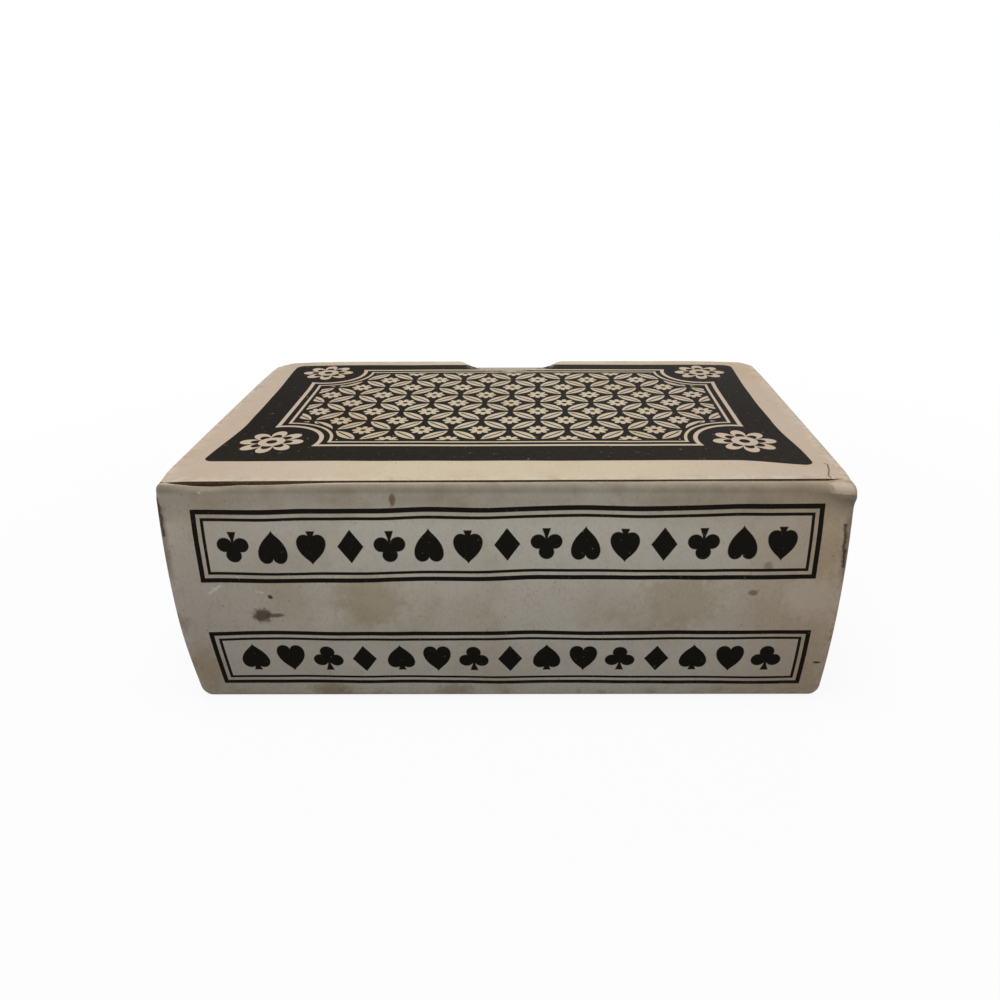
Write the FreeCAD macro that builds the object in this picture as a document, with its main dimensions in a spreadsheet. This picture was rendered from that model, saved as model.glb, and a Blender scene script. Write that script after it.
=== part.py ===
import FreeCAD, Part
import os
from types import SimpleNamespace

import Sketcher

# Driving sizes: millimetres, except the shares, which are plain fractions
SIZES = (
    ("card_length", 88.9, "long edge of a bridge card"),
    ("card_width", 57.15, "short edge of a bridge card"),
    ("card_thickness", 0.285, "one card"),
    ("card_corner_radius", 3.2, "rounded corners of a card"),
    ("card_air", 0.01, "air between neighbouring cards"),
    ("deck_air", 0.1, "air between the two decks"),
    ("board", 0.45, "paperboard of the case"),
    ("side_clearance", 0.375, "card ends to the boards beside them"),
    ("floor_clearance", 0.1, "under panel to the lowest card"),
    ("mouth_recess", 0.8, "mouth of the case to the card edges"),
    ("dust_clearance", 0.5, "card edges to the dust flaps"),
    ("lid_clearance", 0.15, "dust flaps to the closing lid"),
    ("lid_bow", 1.8, "outward bow of the worn lid"),
    ("lid_end_gap", 0.05, "lid ends inside the outer sides"),
    ("seam_gap", 1.15, "lid board to the near edge of the upper panel"),
    ("fold_inner_radius", 0.35, "inside of a folded edge of the sleeve"),
    ("glue_flap_share", 0.45, "glue flap as a share of the side's height"),
    ("glue_flap_taper", 3.0, "glue flap ends cut back at its free edge"),
    ("tuck_length", 11.0, "tuck flap from the face of the lid"),
    ("tuck_drop_share", 0.03, "fall of the tuck flap per length"),
    ("tuck_end_inset", 2.3, "tuck flap ends inside the lid ends"),
    ("tuck_corner_share", 0.45, "tuck flap corner radius per length"),
    ("tuck_over_clearance", 0.2, "tuck flap to the upper panel"),
    ("tuck_under_clearance", 0.17, "tuck flap to the highest card"),
    ("dust_length", 16.0, "dust flap from its fold"),
    ("dust_foot_gap", 0.55, "under panel to the dust flap at its fold"),
    ("dust_head_gap", 1.0, "dust flap at its fold to the tuck flap"),
    ("dust_rise_share", 0.8, "rise of the dust flap's lower edge per length"),
    ("dust_fall_share", 0.12, "fall of the dust flap's upper edge per length"),
    ("dust_corner_radius", 2.0, "rounded free corners of a dust flap"),
    ("notch_radius", 9.5, "round of the thumb notch"),
    ("notch_depth", 6.8, "thumb notch in from the mouth"),
    ("notch_corner_radius", 2.0, "eased ends of the thumb notch"),
)
DECKS = ("upper", "lower")
SUITS = ("clubs", "diamonds", "hearts", "spades")
PIP_CARDS = 9
COURT_CARDS = 3
ACES = 1
JOKERS = 2
SUIT_CARDS = PIP_CARDS + COURT_CARDS + ACES
DECK_CARDS = len(SUITS) * SUIT_CARDS + JOKERS

document = FreeCAD.newDocument("double_deck_of_cards")
sheet = document.addObject("Spreadsheet::Sheet", "Sizes")
for row, (alias, number, meaning) in enumerate(SIZES, start=1):
    sheet.set(f"A{row}", meaning)
    sheet.set(f"B{row}", str(number))
    sheet.setAlias(f"B{row}", alias)
document.recompute()


# Sketcher's own numbers for the points of an edge, and for the sketch's origin and axes
POINTS = SimpleNamespace(**dict(zip(("start", "finish", "centre"), range(1, 4))))
AXES = SimpleNamespace(**dict(zip(("across", "up"), range(-1, -3, -1))))


class Size:
    """A size and its spreadsheet formula, so that sums of sizes stay bound to the cells."""

    def __init__(self, value, formula):
        self.value = value
        self.formula = formula

    def combine(self, other, sign, value):
        right = other.formula if isinstance(other, Size) else str(other)
        return Size(value, f"({self.formula} {sign} {right})")

    def __add__(self, other):
        return self.combine(other, "+", self.value + plain(other))

    def __sub__(self, other):
        return self.combine(other, "-", self.value - plain(other))

    def __mul__(self, other):
        return self.combine(other, "*", self.value * plain(other))

    def __truediv__(self, other):
        return self.combine(other, "/", self.value / plain(other))

    def __neg__(self):
        return Size(-self.value, f"(-1 * {self.formula})")


def plain(size):
    """The number behind a size."""
    return size.value if isinstance(size, Size) else size


def formula(size):
    """The expression text of a size."""
    return size.formula if isinstance(size, Size) else str(size)


s = SimpleNamespace(**{alias: Size(float(getattr(sheet, alias)), f"Sizes.{alias}") for alias, _, _ in SIZES})

# The decks set the size of the case that goes round them
card_pitch = s.card_thickness + s.card_air
deck_height = card_pitch * DECK_CARDS
tuck_drop = s.tuck_length * s.tuck_drop_share
tuck_room = s.tuck_over_clearance + s.board + tuck_drop + s.tuck_under_clearance
case_width = s.card_length + s.side_clearance * 2 + s.board * 3
case_depth = s.card_width + s.mouth_recess + s.dust_clearance + s.board * 2 + s.lid_clearance
case_height = s.board * 2 + s.floor_clearance + deck_height * 2 + s.deck_air + tuck_room

# Planes of the case; the origin is under the middle of the whole, lid bow included
right_wall = case_width / 2
left_wall = -right_wall
mouth = (case_depth + s.lid_bow) / 2
lid_face = mouth - case_depth
dust_face = lid_face + s.board + s.lid_clearance
side_near = dust_face + s.board
lid_top = case_height - s.board - s.tuck_over_clearance
fold_radius = s.fold_inner_radius + s.board
under_top = s.board
upper_under = case_height - s.board


def origin_part(body, role):
    """A plane or axis of the body's own origin."""
    return next(item for item in body.Origin.OriginFeatures if item.Role == role)


def new_body(label):
    """An empty body whose label names its file."""
    body = document.addObject("PartDesign::Body", label)
    body.Label = label
    return body


def place(body, axis, offset):
    """Move a body along one axis by a bound size."""
    body.setExpression(f"Placement.Base.{axis}", formula(offset))


def new_sketch(body, role):
    """A sketch on one of the body's origin planes."""
    sketch = body.newObject("Sketcher::SketchObject", f"{body.Label}_sketch")
    sketch.AttachmentSupport = [(origin_part(body, role), "")]
    sketch.MapMode = "FlatFace"
    return sketch


def bind(sketch, constraint, name, size):
    """Add a named dimension to a sketch and tie it to its formula."""
    index = sketch.addConstraint(constraint)
    sketch.renameConstraint(index, name)
    sketch.setExpression(f"Constraints.{name}", formula(size))


def fix_point(sketch, edge, end, name, across, up):
    """Hold one end of an edge at bound distances from the sketch origin."""
    origin_point = (AXES.across, POINTS.start)
    for kind, size, axis in (("DistanceX", across, AXES.up), ("DistanceY", up, AXES.across)):
        if isinstance(size, Size):
            distance = Sketcher.Constraint(kind, *origin_point, edge, end, size.value)
            bind(sketch, distance, f"{name}_{kind}", size)
        else:
            sketch.addConstraint(Sketcher.Constraint("PointOnObject", edge, end, axis))


def bulge_point(start, finish, radius):
    """The middle of an arc that turns left or right (negative radius) from start to finish."""
    chord = finish - start
    half = chord.Length / 2
    sagitta = abs(radius) - (radius * radius - half * half) ** 0.5
    sideways = FreeCAD.Vector(chord.y, -chord.x, 0).normalize()
    middle = (start + finish) / 2
    return middle + sideways * (sagitta if radius > 0 else -sagitta)


def outline(sketch, corners, arcs=None):
    """A closed outline through bound corners; arcs maps an edge's number to its signed radius."""
    arcs = arcs or {}
    points = [FreeCAD.Vector(plain(across), plain(up), 0) for across, up in corners]
    begins, finishes = [], []
    for number, start in enumerate(points):
        finish = points[(number + 1) % len(points)]
        if number in arcs:
            radius = arcs[number]
            middle = bulge_point(start, finish, plain(radius))
            edge = sketch.addGeometry(Part.Arc(start, middle, finish), False)
            to_start = (sketch.getPoint(edge, POINTS.start) - start).Length
            turned = to_start > (sketch.getPoint(edge, POINTS.finish) - start).Length
        else:
            edge = sketch.addGeometry(Part.LineSegment(start, finish), False)
            turned = False
        begins.append((edge, POINTS.finish if turned else POINTS.start))
        finishes.append((edge, POINTS.start if turned else POINTS.finish))
    for number, (across, up) in enumerate(corners):
        sketch.addConstraint(Sketcher.Constraint("Coincident", *finishes[number - 1], *begins[number]))
        fix_point(sketch, *begins[number], f"corner{number}", across, up)
    for number, radius in arcs.items():
        size = radius if radius.value > 0 else -radius
        edge = begins[number][0]
        bind(sketch, Sketcher.Constraint("Radius", edge, size.value), f"bend{number}", size)


def rectangle(left, right, low, high):
    """Corners of an upright rectangle."""
    return [(left, low), (right, low), (right, high), (left, high)]


def pad(body, sketch, length, symmetric=False, backwards=False):
    """Thicken a sketch into the body."""
    feature = body.newObject("PartDesign::Pad", f"{body.Label}_pad")
    feature.Profile = sketch
    feature.setExpression("Length", formula(length))
    feature.SideType = "Symmetric" if symmetric else "One side"
    feature.Reversed = backwards
    sketch.Visibility = False
    document.recompute()
    return feature


def round_edges(body, base, wanted, radius):
    """Round those edges of a feature that the test picks."""
    names = [f"Edge{number}" for number, edge in enumerate(base.Shape.Edges, start=1) if wanted(edge)]
    feature = body.newObject("PartDesign::Fillet", f"{body.Label}_rounds")
    feature.Base = (base, names)
    feature.setExpression("Radius", formula(radius))
    document.recompute()
    return feature


def cut_thumb_notch(body, base):
    """Cut the round thumb notch out of the mouth edge of a flat panel and ease its two ends."""
    sketch = new_sketch(body, "XY_Plane")
    centre = mouth + s.notch_radius - s.notch_depth
    round_edge = Part.Circle(FreeCAD.Vector(0, centre.value, 0), FreeCAD.Vector(0, 0, 1), s.notch_radius.value)
    edge = sketch.addGeometry(round_edge, False)
    fix_point(sketch, edge, POINTS.centre, "centre", 0, centre)
    bind(sketch, Sketcher.Constraint("Radius", edge, s.notch_radius.value), "round", s.notch_radius)
    pocket = body.newObject("PartDesign::Pocket", f"{body.Label}_notch")
    pocket.Profile = sketch
    pocket.SideType = "Symmetric"
    pocket.Type = "ThroughAll"
    sketch.Visibility = False
    document.recompute()
    box = base.Shape.BoundBox
    near_enough = s.board.value / 10

    def notch_end(item):
        centre_point = item.BoundBox.Center
        upright = item.BoundBox.ZLength > item.BoundBox.DiagonalLength - near_enough
        at_mouth = abs(centre_point.y - box.YMax) < near_enough
        inside = box.XMin + near_enough < centre_point.x < box.XMax - near_enough
        return upright and at_mouth and inside

    return round_edges(body, pocket, notch_end, s.notch_corner_radius)


# Upper panel: the big face over the decks, with the thumb notch at the mouth
upper_panel = new_body("upper_panel")
panel_sketch = new_sketch(upper_panel, "XY_Plane")
left_fold_line = left_wall + fold_radius
right_fold_line = right_wall - fold_radius
upper_near = lid_face + s.board + s.seam_gap
outline(panel_sketch, rectangle(left_fold_line, right_fold_line, upper_near, mouth))
cut_thumb_notch(upper_panel, pad(upper_panel, panel_sketch, s.board))
place(upper_panel, "z", upper_under)

# Under panel: the face the case lies on, from the fold of the lid to the mouth
under_panel = new_body("under_panel")
panel_sketch = new_sketch(under_panel, "XY_Plane")
under_near = lid_face + s.board
glue_fold_line = left_fold_line + s.board
outline(panel_sketch, rectangle(glue_fold_line, right_fold_line, under_near, mouth))
cut_thumb_notch(under_panel, pad(under_panel, panel_sketch, s.board))

# Right side panel: one board with the two folds that lead to the upper and the under panel
right_side = new_body("right_side_panel")
side_sketch = new_sketch(right_side, "XZ_Plane")
right_inner = right_wall - s.board
fold_foot = fold_radius
fold_head = case_height - fold_radius
outline(
    side_sketch,
    [
        (right_fold_line, 0),
        (right_wall, fold_foot),
        (right_wall, fold_head),
        (right_fold_line, case_height),
        (right_fold_line, upper_under),
        (right_inner, fold_head),
        (right_inner, fold_foot),
        (right_fold_line, under_top),
    ],
    {0: fold_radius, 2: fold_radius, 4: -s.fold_inner_radius, 6: -s.fold_inner_radius},
)
side_depth = mouth - side_near
pad(right_side, side_sketch, side_depth, backwards=True)
place(right_side, "y", side_near)

# Left side panel: folded down from the upper panel, its lower edge cut square at the seam
left_side = new_body("left_side_panel")
side_sketch = new_sketch(left_side, "XZ_Plane")
left_inner = left_wall + s.board
outline(
    side_sketch,
    [
        (left_fold_line, case_height),
        (left_wall, fold_head),
        (left_wall, fold_foot),
        (left_inner, fold_foot),
        (left_inner, fold_head),
        (left_fold_line, upper_under),
    ],
    {0: fold_radius, 4: -s.fold_inner_radius},
)
pad(left_side, side_sketch, side_depth, backwards=True)
place(left_side, "y", side_near)

# Glue flap: folded up from the under panel and stuck inside the left side panel, its ends tapered
glue_flap = new_body("glue_flap")
plate_sketch = new_sketch(glue_flap, "YZ_Plane")
glue_head = fold_foot + case_height * s.glue_flap_share
outline(
    plate_sketch,
    [
        (upper_near, fold_foot),
        (mouth, fold_foot),
        (mouth - s.glue_flap_taper, glue_head),
        (upper_near + s.glue_flap_taper, glue_head),
    ],
)
pad(glue_flap, plate_sketch, s.board)
fold_sketch = new_sketch(glue_flap, "XZ_Plane")
outline(
    fold_sketch,
    [(fold_radius, 0), (fold_radius, under_top), (s.board, fold_foot), (0, fold_foot)],
    {1: -s.fold_inner_radius, 3: fold_radius},
)
fold_pad = pad(glue_flap, fold_sketch, -upper_near)
fold_pad.SideType = "Two sides"
fold_pad.setExpression("Length2", formula(mouth))
place(glue_flap, "x", left_inner)

# Closing lid: hinged at the under panel's near edge and bowed out by long use
closing_lid = new_body("closing_lid")
lid_sketch = new_sketch(closing_lid, "YZ_Plane")
lid_inner = lid_face + s.board
bow_radius = (lid_top * lid_top / 4 + s.lid_bow * s.lid_bow) / (s.lid_bow * 2)
outline(
    lid_sketch,
    [(lid_face, 0), (lid_inner, 0), (lid_inner, lid_top), (lid_face, lid_top)],
    {1: -bow_radius, 3: bow_radius},
)
lid_width = case_width - s.lid_end_gap * 2
pad(closing_lid, lid_sketch, lid_width, symmetric=True)

# Tuck flap: folded back from the head of the lid, in under the upper panel
tuck_flap = new_body("tuck_flap")
tuck_sketch = new_sketch(tuck_flap, "YZ_Plane")
tuck_tip = lid_face + s.tuck_length
tip_top = lid_top - tuck_drop
outline(
    tuck_sketch,
    [
        (lid_inner, lid_top - s.board),
        (tuck_tip, tip_top - s.board),
        (tuck_tip, tip_top),
        (lid_inner, lid_top),
    ],
)
tuck_pad = pad(tuck_flap, tuck_sketch, lid_width - s.tuck_end_inset * 2, symmetric=True)


def tuck_corner(edge):
    """The short upright edges at the tip of the tuck flap."""
    slack = s.board.value / 10
    at_tip = abs(edge.BoundBox.YMin - tuck_pad.Shape.BoundBox.YMax) < slack
    return at_tip and edge.BoundBox.XLength < slack


round_edges(tuck_flap, tuck_pad, tuck_corner, s.tuck_length * s.tuck_corner_share)


def dust_flap(label, wall, inward):
    """A tapered flap folded in from the near edge of a side panel, behind the lid."""
    body = new_body(label)
    sketch = new_sketch(body, "XZ_Plane")
    foot = under_top + s.dust_foot_gap
    head = lid_top - s.board - s.dust_head_gap
    tip = wall + s.dust_length * inward
    tip_foot = foot + s.dust_length * s.dust_rise_share
    tip_head = head - s.dust_length * s.dust_fall_share
    outline(sketch, [(wall, foot), (tip, tip_foot), (tip, tip_head), (wall, head)])
    flap = pad(body, sketch, s.board, backwards=True)

    def tip_corner(edge):
        slack = s.board.value / 10
        runs_through = edge.BoundBox.YLength > edge.BoundBox.DiagonalLength - slack
        return runs_through and (edge.BoundBox.Center.x - wall.value) * inward > slack

    round_edges(body, flap, tip_corner, s.dust_corner_radius)
    place(body, "y", dust_face)
    return body


dust_flap("left_dust_flap", left_wall, 1)
dust_flap("right_dust_flap", right_wall, -1)

# Cards lie between the glue flap and the right side, back from the mouth by the recess
card_centre_x = s.board / 2
card_centre_y = mouth - s.mouth_recess - s.card_width / 2


def card_packet(label, count, base):
    """A packet of loose cards, one solid each, from the height base upwards."""
    body = new_body(label)
    sketch = new_sketch(body, "XY_Plane")
    end = s.card_length / 2
    side = s.card_width / 2
    flat_end = end - s.card_corner_radius
    flat_side = side - s.card_corner_radius
    outline(
        sketch,
        [
            (-flat_end, -side),
            (flat_end, -side),
            (end, -flat_side),
            (end, flat_side),
            (flat_end, side),
            (-flat_end, side),
            (-end, flat_side),
            (-end, -flat_side),
        ],
        {number: s.card_corner_radius for number in (1, 3, 5, 7)},
    )
    card = pad(body, sketch, s.card_thickness)
    if count > 1:
        pattern = body.newObject("PartDesign::LinearPattern", f"{label}_cards")
        pattern.Originals = [card]
        pattern.Direction = (origin_part(body, "Z_Axis"), [""])
        pattern.Mode = "Spacing"
        pattern.setExpression("Offset", formula(card_pitch))
        pattern.Occurrences = count
        body.Tip = pattern
    place(body, "x", card_centre_x)
    place(body, "y", card_centre_y)
    place(body, "z", base)
    return body


# Each deck from its outer face inwards: a joker, the four suits, the other joker
stack_foot = under_top + s.floor_clearance
for deck in DECKS:
    packets = [("outer_joker", 1)]
    for suit in SUITS:
        packets += [(f"{suit}_ace", ACES), (f"{suit}_pips", PIP_CARDS), (f"{suit}_courts", COURT_CARDS)]
    packets += [("inner_joker", 1)]
    deck_foot = stack_foot
    if deck == "upper":
        packets.reverse()
        deck_foot = stack_foot + deck_height + s.deck_air
    cards_below = 0
    for name, count in packets:
        card_packet(f"{deck}_{name}", count, deck_foot + card_pitch * cards_below)
        cards_below += count

# Check every object before its file is written
document.recompute()
for item in document.Objects:
    faults = [state for state in item.State if state in ("Invalid", "Error")]
    if faults:
        raise RuntimeError(f"{item.Label}: {faults}")
bodies = [item for item in document.Objects if item.TypeId == "PartDesign::Body"]
for body in bodies:
    if body.Shape.isNull() or not body.Shape.isValid():
        raise RuntimeError(f"{body.Label}: shape is empty or not valid")
os.makedirs("parts", exist_ok=True)
for body in bodies:
    body.Shape.exportStep(f"parts/{body.Label}.step")
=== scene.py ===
import math
import random

import bpy
from mathutils import Matrix, Vector, noise


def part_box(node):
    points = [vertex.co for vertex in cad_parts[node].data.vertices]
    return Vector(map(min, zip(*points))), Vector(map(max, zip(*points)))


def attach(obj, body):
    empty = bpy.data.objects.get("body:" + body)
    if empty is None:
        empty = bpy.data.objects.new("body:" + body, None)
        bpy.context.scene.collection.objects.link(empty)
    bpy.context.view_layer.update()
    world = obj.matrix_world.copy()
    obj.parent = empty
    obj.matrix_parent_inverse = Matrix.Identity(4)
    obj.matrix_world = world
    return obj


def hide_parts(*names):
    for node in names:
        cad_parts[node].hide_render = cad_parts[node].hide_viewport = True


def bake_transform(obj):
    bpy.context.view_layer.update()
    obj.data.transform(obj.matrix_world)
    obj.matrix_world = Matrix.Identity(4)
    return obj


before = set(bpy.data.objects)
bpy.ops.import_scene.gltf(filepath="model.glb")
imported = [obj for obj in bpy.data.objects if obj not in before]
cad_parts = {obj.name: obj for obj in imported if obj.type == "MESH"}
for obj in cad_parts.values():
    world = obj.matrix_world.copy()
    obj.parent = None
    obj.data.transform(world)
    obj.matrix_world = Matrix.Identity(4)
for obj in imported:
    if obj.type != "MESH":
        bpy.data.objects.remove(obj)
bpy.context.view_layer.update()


# Case sleeve: one blank of cream paperboard, folded round the decks into left side, upper panel,
# right side and under panel, with a glue flap stuck inside the left side. Both big faces are
# printed with a dark ornamental panel, and a thumb notch is die-cut in each at the open mouth.
MM = 0.001
UPPER_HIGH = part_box("upper_panel")[1]
UNDER_LOW, UNDER_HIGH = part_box("under_panel")
LEFT_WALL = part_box("left_side_panel")[0].x
RIGHT_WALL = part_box("right_side_panel")[1].x
GLUE_LOW, GLUE_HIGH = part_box("glue_flap")
LID_LOW, LID_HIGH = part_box("closing_lid")
DUST_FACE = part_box("left_dust_flap")[0].y
BOARD = UNDER_HIGH.z - UNDER_LOW.z
CASE_HEIGHT = UPPER_HIGH.z
MOUTH_TRIM = 0.01 * MM
MOUTH = UPPER_HIGH.y - MOUTH_TRIM
LID_FACE = LID_HIGH.y - BOARD
FOLD_RADIUS = 0.55 * MM
SIDE_NEAR = DUST_FACE + FOLD_RADIUS
LID_CREASE = 0.7 * MM
SEAM_SETBACK = 1.1 * MM
SEAM_SLANT = 0.0067
SEAM_CORNER = 1.3 * MM
SEAM_ROUNDING = 0.5
NOTCH_RADIUS = 9.5 * MM
NOTCH_DEPTH = 6.8 * MM
NOTCH_EASE = 2.0 * MM
NOTCH_REACH = 13.0 * MM
NOTCH_SHIFT = -0.8 * MM
GLUE_TAPER = 3.0 * MM
# How many points each run of the blank gets, and the closer steps at its ends in millimetres.
FOLD_STEPS = 7
SIDE_STEPS = 17
GLUE_STEPS = 9
MARGIN_STEPS = 18
NOTCH_STEPS = 79
LENGTH_STEPS = 15
PANEL_ENDS = (0.0, 0.4, 0.9, 1.5, 2.2, 3.0, 4.0)
LENGTH_ENDS = (0, 0.3, 0.8, 1.6, 3.0, 5.0, 7.5)
LENGTH_MARGIN = 10 * MM
SAME_PLACE = 1e-7


def spread(low, high, count):
    """Evenly spaced values from low to high, both ends included."""
    return [low + (high - low) * step / (count - 1) for step in range(count)]


def near_to(distance, reach):
    """1 at the place itself, fading to 0 over a few reaches."""
    return math.exp(-((distance / reach) ** 2))


def notch_edge(x):
    """Mouth edge of a big panel at x: straight, with the eased round of the thumb notch."""
    centre = MOUTH + NOTCH_RADIUS - NOTCH_DEPTH
    ease_across = math.sqrt((NOTCH_RADIUS + NOTCH_EASE) ** 2 - (centre - MOUTH + NOTCH_EASE) ** 2)
    meeting = ease_across * NOTCH_RADIUS / (NOTCH_RADIUS + NOTCH_EASE)
    away = abs(x - NOTCH_SHIFT)
    if away >= ease_across:
        return MOUTH
    if away <= meeting:
        return centre - math.sqrt(NOTCH_RADIUS**2 - away**2)
    return MOUTH - NOTCH_EASE + math.sqrt(NOTCH_EASE**2 - (away - ease_across) ** 2)


def sleeve_path():
    """Stations round the sleeve, left side to glue flap: board, x, z, and run along the blank."""
    glue_wall = LEFT_WALL + BOARD
    glue_line, left_line = glue_wall + FOLD_RADIUS, LEFT_WALL + FOLD_RADIUS
    right_line = RIGHT_WALL - FOLD_RADIUS
    head, foot = CASE_HEIGHT - FOLD_RADIUS, FOLD_RADIUS

    def fold(x, z, start, finish):
        angles = spread(math.radians(start), math.radians(finish), FOLD_STEPS)
        return [(x + FOLD_RADIUS * math.cos(turn), z + FOLD_RADIUS * math.sin(turn)) for turn in angles]

    def big_panel(start, finish, z):
        first, last = math.copysign(NOTCH_REACH, start), math.copysign(NOTCH_REACH, finish)
        ends = [step * MM for step in PANEL_ENDS]
        run = [start - math.copysign(end, start) for end in ends]
        run += spread(run[-1], first, MARGIN_STEPS)[1:] + spread(first, last, NOTCH_STEPS)[1:]
        run += spread(last, finish - math.copysign(ends[-1], finish), MARGIN_STEPS)[1:]
        run += [finish - math.copysign(end, finish) for end in reversed(ends[:-1])]
        return [(x, z) for x in run]

    boards = {
        "left": [(LEFT_WALL, z) for z in spread(foot, head, SIDE_STEPS)],
        "left_head": fold(left_line, head, 180, 90),
        "upper": big_panel(left_line, right_line, CASE_HEIGHT),
        "right_head": fold(right_line, head, 90, 0),
        "right": [(RIGHT_WALL, z) for z in spread(head, foot, SIDE_STEPS)],
        "right_foot": fold(right_line, foot, 0, -90),
        "under": big_panel(right_line, glue_line, 0.0),
        "glue_fold": fold(glue_line, foot, -90, -180),
        "glue_flap": [(glue_wall, z) for z in spread(foot, GLUE_HIGH.z, GLUE_STEPS)],
    }
    stations = []
    for board, points in boards.items():
        for x, z in points:
            run = 0.0
            if stations:
                _, last_x, last_z, last_run = stations[-1]
                gap = math.hypot(x - last_x, z - last_z)
                if gap < SAME_PLACE:
                    continue
                run = last_run + gap
            stations.append((board, x, z, run))
    middle = next(run - x for board, x, z, run in stations if board == "upper")
    return [(board, x, z, run - middle) for board, x, z, run in stations]


# Depth of the board's ripple in millimetres, and its scale.
RIPPLE = 0.03
RIPPLE_SCALE = 45.0
# Each worn corner: its wall and end, how far it is pressed in millimetres, and its reach.
CORNER_WEAR = (
    (LEFT_WALL, MOUTH, Vector((0.1, -0.3, -0.2)), 8.0 * MM),
    (LEFT_WALL, MOUTH, Vector((0.55, -0.75, -0.25)), 2.0 * MM),
    (RIGHT_WALL, MOUTH, Vector((-0.03, -0.3, -0.2)), 8.0 * MM),
    (RIGHT_WALL, MOUTH, Vector((-0.28, -0.75, -0.25)), 1.5 * MM),
    (LEFT_WALL, LID_FACE + SEAM_SETBACK, Vector((0.12, 0.2, -0.3)), 2.2 * MM),
    (RIGHT_WALL, LID_FACE + SEAM_SETBACK, Vector((-0.05, 0.1, -0.2)), 2.0 * MM),
)


def worn_place(point, outwards):
    """Where old board has moved to: a slow ripple, and corners pressed in."""
    ripple = RIPPLE + RIPPLE * noise.noise(point * RIPPLE_SCALE)
    moved = point - outwards * ripple * MM
    for wall, end, press, reach in CORNER_WEAR:
        corner = Vector((wall, end, CASE_HEIGHT))
        moved += press * MM * near_to((point - corner).length, reach)
    return moved


def seam_line(x):
    """Near edge of the upper panel, running a little askew to the lid."""
    return LID_FACE + SEAM_SETBACK + SEAM_SLANT * x


def sleeve_reach(board, x, z):
    """Near and far ends of the blank at one station."""
    if board == "upper":
        past = min(max(abs(x) - RIGHT_WALL + SEAM_CORNER, 0.0), SEAM_CORNER)
        rounding = SEAM_CORNER - math.sqrt(SEAM_CORNER**2 - past**2)
        return seam_line(x) + rounding * SEAM_ROUNDING, notch_edge(x)
    if board == "under":
        return LID_FACE + LID_CREASE, notch_edge(x)
    if board in ("glue_fold", "glue_flap"):
        taper = GLUE_TAPER * z / GLUE_HIGH.z
        return GLUE_LOW.y + taper, MOUTH - taper
    return SIDE_NEAR, MOUTH


OUTSIDE, INSIDE, CUT = range(3)
EDGE_SOFTNESS = 0.05 * MM
SHARP_TURN = math.radians(50)


def placed(name, data):
    """A new object in the scene."""
    made = bpy.data.objects.new(name, data)
    bpy.context.scene.collection.objects.link(made)
    return made


def new_piece(name, points, faces, sides, materials, prints, facts):
    """A mesh object: each face's side picks its material, and points carry print places and facts."""
    mesh = bpy.data.meshes.new(name)
    mesh.from_pydata(points, [], faces)
    for material in materials:
        mesh.materials.append(material)
    mesh.polygons.foreach_set("material_index", sides)
    layer = mesh.uv_layers.new(name="print")
    for loop in mesh.loops:
        layer.data[loop.index].uv = prints[loop.vertex_index]
    for fact, values in facts.items():
        mesh.attributes.new(fact, "FLOAT", "POINT").data.foreach_set("value", values)
    return placed(name, mesh)


def board_sheet(name, columns, prints, wear, materials, butted=()):
    """A closed sheet of board: columns of outer points, thickened inwards, free edges softened."""
    wide, tall = len(columns), len(columns[0])
    quarter = BOARD / 4

    def across(i, j):
        return columns[min(i + 1, wide - 1)][j] - columns[max(i - 1, 0)][j]

    def along(i, j):
        return columns[i][min(j + 1, tall - 1)] - columns[i][max(j - 1, 0)]

    def soft_pull(i, j):
        pull = Vector()
        if (i == 0 and "first" not in butted) or (i == wide - 1 and "last" not in butted):
            pull += across(i, j).normalized() * (1 if i == 0 else -1)
        if (j == 0 and "low" not in butted) or (j == tall - 1 and "high" not in butted):
            pull += along(i, j).normalized() * (1 if j == 0 else -1)
        return pull * EDGE_SOFTNESS

    grid = [(i, j) for i in range(wide) for j in range(tall)]
    normal = {(i, j): across(i, j).cross(along(i, j)).normalized() for i, j in grid}
    rim = [(i, 0) for i in range(wide)] + [(wide - 1, j) for j in range(1, tall)]
    rim += [(i, tall - 1) for i in range(wide - 2, -1, -1)] + [(0, j) for j in range(tall - 2, 0, -1)]
    points, source, shelves = [], [], []
    for depth, spots in ((0, grid), (quarter, rim), (BOARD - quarter, rim), (BOARD, grid)):
        shelf = {}
        for i, j in spots:
            shelf[i, j] = len(points)
            pull = soft_pull(i, j) if spots is grid else Vector()
            points.append(columns[i][j] + pull - normal[i, j] * depth)
            source.append((i, j))
        shelves.append(shelf)
    outer, inner = shelves[0], shelves[-1]
    faces, sides = [], []
    for i in range(wide - 1):
        for j in range(tall - 1):
            corners = ((i, j), (i + 1, j), (i + 1, j + 1), (i, j + 1))
            faces.append([outer[corner] for corner in corners])
            faces.append([inner[corner] for corner in reversed(corners)])
            sides += [OUTSIDE, INSIDE]
    for spot, following in zip(rim, rim[1:] + rim[:1]):
        for upper, lower in zip(shelves, shelves[1:]):
            faces.append([upper[following], upper[spot], lower[spot], lower[following]])
            sides.append(CUT)
    places = [prints[i][j] for i, j in source]
    facts = {"wear": [wear[i][j] for i, j in source]}
    piece = new_piece(name, points, faces, sides, materials, places, facts)
    piece.data.shade_smooth()
    piece.data.set_sharp_from_angle(angle=SHARP_TURN)
    return piece


INK_EDGE = 0.04
NUMBER_EDGE = 0.01


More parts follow.
